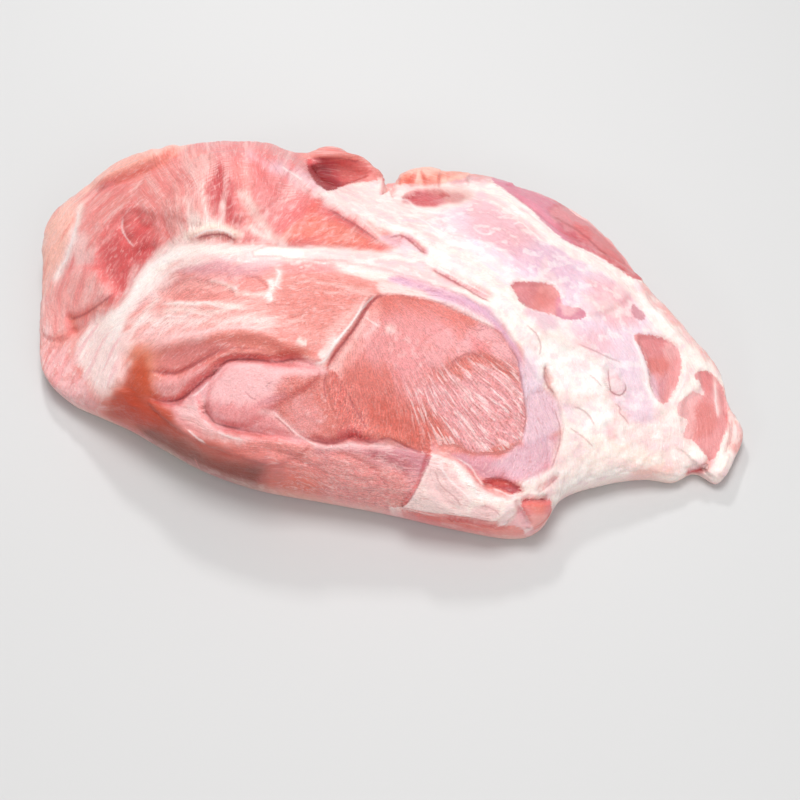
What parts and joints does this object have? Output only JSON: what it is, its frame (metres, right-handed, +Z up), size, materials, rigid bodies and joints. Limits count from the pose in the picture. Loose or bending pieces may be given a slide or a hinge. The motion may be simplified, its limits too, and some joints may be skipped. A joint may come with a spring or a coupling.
{
  "type": "pork shoulder roast",
  "caption": "Raw boneless pork shoulder roast, a low spread cut lying on its flat side, with a high lobe at one end and a thin tapering end at the other.",
  "frame": {"origin": "middle of the plan's box, on the flat underside that the cut rests on", "axes": "+X along the cut to its thin tapering end, +Y towards the high rear side, +Z up from the surface that it lies on"},
  "size_m": [0.285, 0.1832, 0.0715],
  "materials": {
    "raw_pork": "wet raw flesh: coral and rose muscle, pale pink membrane, cream fat and lilac silverskin"
  },
  "bodies": {
    "root": {"pork_shoulder": "raw_pork"}
  },
  "joints": []
}
